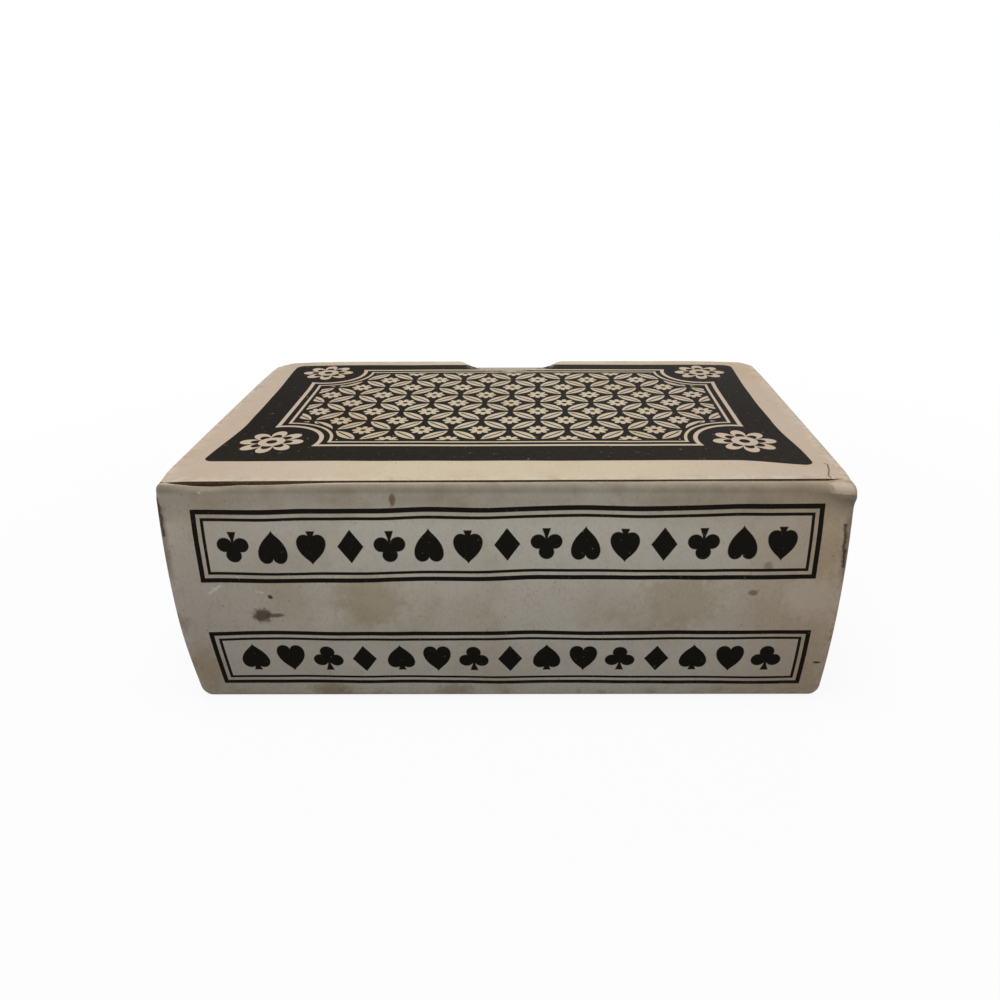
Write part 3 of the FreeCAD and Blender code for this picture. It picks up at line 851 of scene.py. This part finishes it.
def lid_spot(share, y, z):
    """A place on the lid's outer face: round corners, a pinched left foot and a crushed right head."""
    foot = max(LID_CORNER - z, 0.0)
    head = max(z - (CASE_HEIGHT - HEAD_DEEP), 0.0) / HEAD_DEEP
    leftness = max(-share, 0.0)
    head_round = HEAD_ROUND * (1 + LEFT_HEAD_EXTRA * leftness) * ease(abs(share), HEAD_ENDS, 1.0)
    drawn_in = LID_CORNER - math.sqrt(LID_CORNER**2 - foot**2) + head_round * head**HEAD_CURVE
    x = LID_LEFT + (LID_RIGHT - LID_LEFT) * (share + 1) / 2 - share * drawn_in
    x += FOOT_PINCH * leftness * ease(z, PINCH_TOP, 0.0)
    swell = noise.noise(Vector((share * RIPPLE_ACROSS, z * RIPPLE_UP, RIPPLE_SEED)))
    ripple = (LID_RIPPLE + LID_RIPPLE * swell) * MM * min(z / LID_TURN, 1)
    crush_line = CRUSH_HEIGHT + CRUSH_SLOPE * (RIGHT_WALL - x)
    bulge = BULGE * near_to(x - RIGHT_WALL, CRUSH_RUN) * near_to(z - crush_line, CRUSH_REACH)
    return Vector((x, y + ripple - bulge, z))


crease = bend(
    Vector((0, LID_FACE + LID_CREASE, 0)),
    Vector((0, LID_FACE, 0)),
    Vector((0, lid_face(LID_TURN), LID_TURN)),
    CREASE_STEPS,
)
heights = spread(LID_TURN, LID_CORNER, FOOT_STEPS)[1:] + spread(LID_CORNER, CRUSH_FOOT, FACE_STEPS)[1:]
heights += spread(CRUSH_FOOT, LID_HEAD - LID_TURN, HEAD_STEPS)[1:]
profile = crease + [Vector((0, lid_face(z), z)) for z in heights]
half_shares = [*spread(0, HEAD_ENDS, WIDTH_STEPS), *END_SHARES]
shares = sorted({side * share for share in half_shares for side in (-1, 1)})
columns, prints, wear = [], [], []
for share in shares:
    column = [lid_spot(share, point.y, point.z) for point in profile]
    columns.append(column)
    prints.append([(share * LID_HALF / MM, point.z / MM) for point in column])
    wear.append([max(near_to(LID_HALF - abs(p.x), LID_WEAR), near_to(p.z, LID_WEAR)) for p in column])
lid_papers = (lid_board, inner_board, cut_board)
lid = board_sheet("lid", columns, prints, wear, lid_papers, butted=("low", "high"))
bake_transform(lid)
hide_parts("closing_lid")


# Tuck flap: the lid's own head, folded back over a soft rounded fold and pushed in under the upper
# panel, where friction holds it. Its shoulders are cut back and its tip corners are rounded.
TUCK_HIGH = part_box("tuck_flap")[1]
TUCK_HALF = TUCK_HIGH.x
TUCK_TIP = TUCK_HIGH.y
TUCK_CORNER = 4.95 * MM
TUCK_DROP = 0.33 * MM
TUCK_CLEAR = 0.1 * MM
CREST_DEPTH = 0.22 * MM
CREST_HEIGHT = CASE_HEIGHT - CREST_DEPTH
CREST_GAP = 0.3 * MM
CREST_WEAR = 0.5 * MM
BROW_BACK = 0.1 * MM
FOLD_BACK = 0.5 * MM
NAPE_SHARE = 0.7
BROW_STEPS, NAPE_STEPS, FLAP_STEPS, TIP_STEPS = 9, 6, 7, 9
# In millimetres, hollows in the crest by place, reach and depth, and lifts at its ends by side,
# start, end and height.
CREST_HOLLOWS = ((-39.5, 3.2, 0.6), (-32, 6, 0.3))
CREST_LIFTS = ((1, 42.0, 44.2, 0.18), (-1, 43.6, 45.0, 0.15))
CREST_UNEVEN = 0.05
UNEVEN_ACROSS, UNEVEN_SEED = 5, (1.7, 0.4)


def tuck_width(y):
    """Half width of the flap behind the fold, round at the tip."""
    past = max(y - (TUCK_TIP - TUCK_CORNER), 0.0)
    return TUCK_HALF - TUCK_CORNER + math.sqrt(max(TUCK_CORNER**2 - past**2, 0.0))


def tuck_top(y):
    """Upper face of the flap, dropping a little towards its tip."""
    return LID_HEAD - TUCK_DROP * (y - LID_FACE) / (TUCK_TIP - LID_FACE) - TUCK_CLEAR


def round_tip(tip, radius, count):
    """Stations along the round end of a flap, closer together towards its tip."""
    return [tip - radius * (1 - math.sin(turn)) for turn in spread(0, math.pi / 2, count)[1:]]


columns, prints, wear = [], [], []
for share in shares:
    start = lid_spot(share, lid_face(LID_HEAD - LID_TURN), LID_HEAD - LID_TURN)
    hollows = [depth * near_to(start.x - at * MM, reach * MM) for at, reach, depth in CREST_HOLLOWS]
    lifts = [rise * ease(side * start.x, low * MM, high * MM) for side, low, high, rise in CREST_LIFTS]
    sunk = sum(hollows) - sum(lifts)
    sunk += CREST_UNEVEN * noise.noise(Vector((share * UNEVEN_ACROSS, *UNEVEN_SEED)))
    crest_y = seam_line(start.x) - CREST_GAP
    crest = lid_spot(share, crest_y, CREST_HEIGHT)
    crest.y = crest_y
    crest.z -= sunk * MM
    brow = Vector((start.x, start.y + BROW_BACK, crest.z))
    back_y = crest_y + FOLD_BACK
    nape = Vector((crest.x, crest_y + FOLD_BACK * NAPE_SHARE, crest.z))
    back = Vector((share * TUCK_HALF, back_y, tuck_top(back_y)))
    column = bend(start, brow, crest, BROW_STEPS) + bend(crest, nape, back, NAPE_STEPS)[1:]
    tip_rows = spread(back_y, TUCK_TIP - TUCK_CORNER, FLAP_STEPS)[1:]
    tip_rows += round_tip(TUCK_TIP, TUCK_CORNER, TIP_STEPS)
    column += [Vector((share * tuck_width(y), y, tuck_top(y))) for y in tip_rows]
    columns.append(column)
    rises = [start.z]
    for one, two in zip(column, column[1:]):
        rises.append(rises[-1] + (two - one).length)
    prints.append([(share * LID_HALF / MM, rise / MM) for rise in rises])
    edges = [near_to((point - crest).length, CREST_WEAR) for point in column]
    ends = near_to((1 - abs(share)) * LID_HALF, LID_WEAR)
    wear.append([max(edge, ends) for edge in edges])
tuck = board_sheet("tuck", columns, prints, wear, lid_papers, butted=("low",))
fold_start = (0, lid_face(LID_HEAD - LID_TURN), LID_HEAD - LID_TURN)
seam_line(0) + FOLD_BACK
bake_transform(tuck)
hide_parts("tuck_flap")


# Dust flaps: small flaps of the same blank on the two short sides, folded in behind the lid on
# soft creases. The lower edge is cut steeply and the tip is rounded, so that the lid clears them.
DUST_LOW, DUST_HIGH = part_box("left_dust_flap")
DUST_REACH = DUST_HIGH.x - DUST_LOW.x
DUST_RISE = 0.8
DUST_FALL = 0.12
DUST_TIP = 2.0 * MM
DUST_BARE = 200
REACH_STEPS, ROUND_STEPS, TURN_STEPS, RISE_STEPS = 12, 7, 6, 16

for side, wall in (("left", LEFT_WALL), ("right", RIGHT_WALL)):
    inwards = math.copysign(1, -wall)
    insets = spread(FOLD_RADIUS, DUST_REACH - DUST_TIP, REACH_STEPS)[1:]
    insets += round_tip(DUST_REACH, DUST_TIP, ROUND_STEPS)
    fold = [(1 - math.cos(turn), 1 - math.sin(turn)) for turn in spread(0, math.pi / 2, TURN_STEPS)]
    outline = [(FOLD_RADIUS * inset, DUST_FACE + FOLD_RADIUS * back) for inset, back in fold]
    outline += [(inset, DUST_FACE) for inset in insets]
    columns, prints, wear = [], [], []
    for inset, y in outline:
        past = max(inset - (DUST_REACH - DUST_TIP), 0.0)
        rounding = DUST_TIP - math.sqrt(max(DUST_TIP**2 - past**2, 0.0))
        low = DUST_LOW.z + DUST_RISE * inset + rounding
        high = DUST_HIGH.z - DUST_FALL * inset - rounding
        column = [Vector((wall + inwards * inset, y, z)) for z in spread(low, high, RISE_STEPS)]
        columns.append(column)
        prints.append([(DUST_BARE + inwards * inset / MM, point.z / MM) for point in column])
        wear.append([near_to(min(p.z - low, high - p.z, DUST_REACH - inset), EDGE_WEAR) for p in column])
    if side == "right":
        columns.reverse()
        prints.reverse()
        wear.reverse()
    seam = "first" if side == "left" else "last"
    flap = board_sheet(f"{side}_dust", columns, prints, wear, lid_papers, butted=(seam,))
    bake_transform(flap)
    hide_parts(f"{side}_dust_flap")


# Two decks of 54 cards: coated white card stock, printed both sides, die-cut with round corners and
# stacked loose, backs up. The cards of a deck slide as one, and its outermost card can be drawn off.
CARD_THICK = 0.285 * MM
CARD_PITCH = 0.295 * MM
CARD_CORNER = 3.2 * MM
CORNER_STEPS = 7
CARD_SOFT = 0.04 * MM
# Rise and inset of each rim of a card's cut edge.
CARD_RIMS = ((0.0, CARD_SOFT), (CARD_SOFT, 0.0), (CARD_THICK - CARD_SOFT, 0.0), (CARD_THICK, CARD_SOFT))
CARD_WHITE = srgb(219, 211, 193)
CARD_SOIL = srgb(170, 154, 128)
THUMB_GREY = srgb(146, 138, 120)
DECK_INKS = {"upper": srgb(40, 36, 33), "lower": srgb(120, 30, 32)}
SUITS = ("spades", "hearts", "clubs", "diamonds")
KINDS = ("ace", "pips", "courts")
EDGE_WHITE = srgb(242, 236, 222)
EDGE_SOIL = srgb(206, 194, 170)
JOKER_LIFT = 0.62 * MM
PIP_RED = srgb(150, 32, 34)
PIP_BLACK = srgb(32, 30, 29)
LINEN_SCALE = 7.0
HANDLED_RANGE, HANDLED_SHARE = (0.5, 0.75), 0.35
CARD_ROUGH, EDGE_ROUGH = 0.42, 0.9
EDGE_APART_ACROSS, EDGE_APART_ALONG = 4000.0, 2500.0
FUZZ_CLOUD, FUZZ_SHADE, FUZZ_LOSS, FUZZ_RANGE = 0.6, 0.9, 0.25, (0.2, 0.9)
# How far a card strays from its deck's outline, in millimetres and degrees.
STRAY_ACROSS, STRAY_ALONG, STRAY_TURN = 0.12, 0.22, 0.12
SHUFFLE_SEED = 54
# The prints in millimetres: back panel and frame, thumb marks, and the signs and rules of the faces.
BACK_PANEL = (40.9, 25.0, 1.5)
BACK_FRAME = (35.4, 19.6)
THUMB_AT, THUMB_RADIUS, THUMB_FADE, THUMB_SHARE = 30.0, 9.0, 4.0, 0.7
ACE_HALF = 9.0
ROW_PITCH, ROW_OFF, ROW_END, ROW_HALF = 13.5, 11.0, 27.0, 4.2
COURT_AT, COURT_HALF, COURT_RULE = 12.0, 6.0, 0.25
COURT_FRAME = (33.0, 20.0, 1.0)
INDEX_ACROSS, INDEX_ALONG, INDEX_HALF = 39.0, 24.0, 2.4
STAR_POINTS, STAR_DEPTH, STAR_OUT, STAR_IN = 5.0, 0.35, 13.0, 9.0
PAST_JOKER = (0.4, 0.6)


def card_paper(name):
    """Coated stock with a linen grain, a little yellowed and handled."""
    material, shader, place, across, along = new_paper(name)
    handled = cloud(place, scale=0.12, detail=4.0, rough=0.6).ramp(*HANDLED_RANGE)
    grain = (across * LINEN_SCALE).wave() * (along * LINEN_SCALE).wave() * 0.5 + 0.5
    colour = (handled * HANDLED_SHARE).mix(CARD_WHITE, CARD_SOIL)
    return material, shader, place, across, along, colour, grain


def finish_card(shader, colour, grain):
    """Wire a card's print to its shader, with the low sheen of its linen coating."""
    finish_paper(shader, colour, roughness=CARD_ROUGH + grain * ROUGH_VARIES, height=grain, strength=0.12)


def sign_at(across, along, half, suit):
    """A suit sign of a given half height, upright along the card."""
    return suit_pip(along * (1 / half), across * (1 / half), suit)


card_backs = {}
for deck, ink in DECK_INKS.items():
    card_backs[deck], shader, _, across, along, colour, grain = card_paper(f"card_back_{deck}")
    panel = rounded_box(across, along, *BACK_PANEL).below(0.0)
    inked = panel * (1.0 - ornament(across, along, *BACK_FRAME))
    thumbed = across.length(abs(along) - THUMB_AT).below(THUMB_RADIUS, THUMB_FADE) * THUMB_SHARE
    finish_card(shader, inked.mix(thumbed.mix(colour, THUMB_GREY), ink), grain)

card_face, shader, place, across, along, colour, grain = card_paper("card_face")
suit, kind = point_fact(place, "suit"), point_fact(place, "kind")
is_ace, is_pips, is_court = [kind.is_number(number) for number in (1, 2, 3)]
centre = sign_at(across, along, ACE_HALF, suit) * is_ace
row_step = across / ROW_PITCH - (across / ROW_PITCH).floor() - 0.5
rows = suit_pip((abs(along) - ROW_OFF) * (1 / ROW_HALF), row_step * (ROW_PITCH / ROW_HALF), suit)
rows = rows * abs(across).below(ROW_END) * is_pips
court = sign_at(abs(across) - COURT_AT, along, COURT_HALF, suit)
court = court.most(abs(rounded_box(across, along, *COURT_FRAME)).below(COURT_RULE)) * is_court
corner = sign_at(abs(across) - INDEX_ACROSS, abs(along) - INDEX_ALONG, INDEX_HALF, suit)
star_edge = (across.turn(along) * STAR_POINTS).wave() * STAR_DEPTH + (1 - STAR_DEPTH)
starred = across.length(along) / star_edge
joker = starred.below(STAR_OUT) * (1.0 - starred.below(STAR_IN)) * kind.below(0.5, NUMBER_EDGE)
pips = centre.most(rows).most(court).most(corner * kind.ramp(*PAST_JOKER)).most(joker)
red = suit.is_number(SUITS.index("hearts")).most(suit.is_number(SUITS.index("diamonds")))
finish_card(shader, pips.mix(colour, red.mix(PIP_BLACK, PIP_RED)), grain)

card_edge, shader, place, _, _ = new_paper("card_cut_edge")
shade = point_fact(place, "shade")
inputs = {"X": shade * EDGE_APART_ACROSS, "Y": shade * EDGE_APART_ALONG}
apart = place.node("ShaderNodeCombineXYZ", {}, inputs)
place = place.node("ShaderNodeVectorMath", {"operation": "ADD"}, {0: place, 1: apart})
fuzz = cloud(place, scale=0.16, detail=3.0) * FUZZ_CLOUD + shade * FUZZ_SHADE - FUZZ_LOSS
fuzz = fuzz.ramp(*FUZZ_RANGE)
colour = fuzz.mix(EDGE_WHITE, EDGE_SOIL)
finish_paper(shader, colour, roughness=EDGE_ROUGH - fuzz * ROUGH_VARIES, height=fuzz, strength=0.3)


def card_stack(name, cards, materials):
    """Loose cards as one mesh: each has its outline, a softened cut edge, and its suit and kind."""
    points, faces, sides, prints = [], [], [], []
    facts = {"suit": [], "kind": [], "shade": []}
    for low, high, base, lift, turn, fact in cards:
        middle = (low + high) / 2
        half = (high - low) / 2
        outline = []
        for quarter in range(4):
            turn_x = 1 if quarter in (0, 3) else -1
            turn_y = 1 if quarter < 2 else -1
            for angle in spread(quarter * math.pi / 2, (quarter + 1) * math.pi / 2, CORNER_STEPS):
                x = turn_x * (half.x - CARD_CORNER) + CARD_CORNER * math.cos(angle)
                y = turn_y * (half.y - CARD_CORNER) + CARD_CORNER * math.sin(angle)
                outline.append((x, y))
        start = len(points)
        for rise, inset in CARD_RIMS:
            for x, y in outline:
                near_x, near_y = x * (1 - inset / half.x), y * (1 - inset / half.y)
                turned_x = near_x * math.cos(turn) - near_y * math.sin(turn)
                turned_y = near_x * math.sin(turn) + near_y * math.cos(turn)
                raised = base + rise + lift * (turned_y / half.y + 1) / 2
                points.append((middle.x + turned_x, middle.y + turned_y, raised))
                prints.append((x / MM, y / MM))
        size = len(outline)
        rings = [start + ring * size for ring in range(len(CARD_RIMS))]
        for name_of_fact, value in fact.items():
            facts[name_of_fact] += [value] * (len(CARD_RIMS) * size)
        faces.append([rings[0] + spot for spot in range(size - 1, -1, -1)])
        faces.append([rings[-1] + spot for spot in range(size)])
        sides += [INSIDE, OUTSIDE]
        for lower, upper in zip(rings, rings[1:]):
            for spot in range(size):
                following = (spot + 1) % size
                faces.append([lower + spot, lower + following, upper + following, upper + spot])
                sides.append(CUT)
    return new_piece(name, points, faces, sides, materials, prints, facts)


shuffle = random.Random(SHUFFLE_SEED)
for deck in DECK_INKS:
    groups = [("outer_joker", 0, 0), ("inner_joker", 0, 0)]
    for number, suit_name in enumerate(SUITS):
        for step, kind_name in enumerate(KINDS, start=1):
            groups.append((f"{suit_name}_{kind_name}", number, step))
    for group, suit_number, kind_number in groups:
        node = f"{deck}_{group}"
        low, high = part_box(node)
        cards = []
        base = low.z
        while base < high.z - CARD_THICK / 2:
            stray_x = shuffle.uniform(-STRAY_ACROSS, STRAY_ACROSS)
            stray_y = shuffle.uniform(-STRAY_ALONG, STRAY_ALONG)
            stray = Vector((stray_x, stray_y, 0)) * MM
            turn = math.radians(shuffle.uniform(-STRAY_TURN, STRAY_TURN))
            lift = JOKER_LIFT if node == "upper_outer_joker" else 0.0
            fact = {"suit": suit_number, "kind": kind_number, "shade": shuffle.random()}
            cards.append((low + stray, high + stray, base, lift, turn, fact))
            base += CARD_PITCH
        stack = card_stack(f"{node}_cards", cards, (card_backs[deck], card_face, card_edge))
        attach(stack, f"{deck}_outer_card" if group == "outer_joker" else f"{deck}_deck")
        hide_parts(node)


# Floor, light and camera: a plain pale table under one broad soft lamp, high and in front, and a
# weak one behind, with the camera close, a little above the case and square to its lid.
CAMERA_AT = Vector((4.03, LID_FACE / MM - 97.40, 76.14)) * MM
FOCAL_PIXELS = 821.5
FRAME_PIXELS = 1000
SENSOR = 36.0
CAMERA_SHIFT = (-0.0338, 0.0338)
CAMERA_NEAR = 5 * MM
PITCH, YAW, ROLL = math.radians(26.87), math.radians(-0.16), math.radians(0.16)
FLOOR_REACH = 3.0
FLOOR_DROP = 0.05 * MM
FLOOR_GLOW, FLOOR_FADE = 0.9, (0.05, 0.2)
LAMP_SIZE = 0.45
LAMPS = (("key_lamp", (-0.04, -0.13, 0.64), 3.4), ("back_lamp", (0.12, 0.55, 0.25), 0.5))
AMBIENT = (0.16, 0.16, 0.165, 1.0)
WHITE = (1.0, 1.0, 1.0, 1.0)
TABLE_GREY = (0.36, 0.36, 0.36, 1.0)
TABLE_PALE = (0.9, 0.9, 0.9, 1.0)
TABLE_ROUGHNESS = 0.9

camera_data = bpy.data.cameras.new("camera")
camera_data.sensor_width = SENSOR
camera_data.lens = FOCAL_PIXELS * SENSOR / FRAME_PIXELS
camera_data.shift_x, camera_data.shift_y = CAMERA_SHIFT
camera_data.clip_start = CAMERA_NEAR
forward = Vector((math.sin(YAW) * math.cos(PITCH), math.cos(YAW) * math.cos(PITCH), -math.sin(PITCH)))
sideways = Vector((math.cos(YAW), -math.sin(YAW), 0))
downward = forward.cross(sideways)
right = sideways * math.cos(ROLL) + downward * math.sin(ROLL)
upward = sideways * math.sin(ROLL) - downward * math.cos(ROLL)
camera = placed("camera", camera_data)
aim = Matrix((right, upward, -forward)).transposed()
camera.matrix_world = Matrix.Translation(CAMERA_AT) @ aim.to_4x4()
bpy.context.scene.camera = camera
bpy.context.scene.view_settings.view_transform = "Standard"

for name, lamp_at, power in LAMPS:
    lamp_data = bpy.data.lights.new(name, "AREA")
    lamp_data.size = LAMP_SIZE
    lamp_data.energy = power
    lamp = placed(name, lamp_data)
    lamp.location = lamp_at
    lamp.rotation_euler = (-Vector(lamp_at)).to_track_quat("-Z", "Y").to_euler()


def looked_at(tree):
    """1 for rays that show the backdrop itself, 0 for those that carry its light."""
    start = Tone(tree)
    rays = ("Is Camera Ray", "Is Glossy Ray", "Is Transmission Ray")
    camera_ray, glossy, through = [start.node("ShaderNodeLightPath", {}, {}, output=ray) for ray in rays]
    return camera_ray.most(glossy).most(through)


world = bpy.data.worlds.new("studio")
bpy.context.scene.world = world
world.use_nodes = True
sky = looked_at(world.node_tree).mix(AMBIENT, WHITE)
world.node_tree.links.new(sky.socket, world.node_tree.nodes["Background"].inputs["Color"])

floor_mesh = bpy.data.meshes.new("floor")
signs = ((-1, -1), (1, -1), (1, 1), (-1, 1))
corners = [(x * FLOOR_REACH, y * FLOOR_REACH, -FLOOR_DROP) for x, y in signs]
floor_mesh.from_pydata(corners, [], [(0, 1, 2, 3)])
floor = placed("floor", floor_mesh)
table = bpy.data.materials.new("pale_table")
table.use_nodes = True
floor_mesh.materials.append(table)
shader = table.node_tree.nodes["Principled BSDF"]
shader.inputs["Roughness"].default_value = TABLE_ROUGHNESS
seen = looked_at(table.node_tree)
table.node_tree.links.new(seen.mix(TABLE_GREY, TABLE_PALE).socket, shader.inputs["Base Color"])
place = seen.node("ShaderNodeTexCoord", {}, {}, output="Object")
away = seen.node("ShaderNodeVectorMath", {"operation": "LENGTH"}, {0: place}, output="Value")
glow = seen.node("ShaderNodeEmission", {}, {"Color": WHITE})
lit = Tone(table.node_tree, shader.outputs[0])
share = seen * (away.ramp(*FLOOR_FADE) * (1 - FLOOR_GLOW) + FLOOR_GLOW)
dressed = seen.node("ShaderNodeMixShader", {}, {0: share, 1: lit, 2: glow})
table.node_tree.links.new(dressed.socket, table.node_tree.nodes["Material Output"].inputs["Surface"])
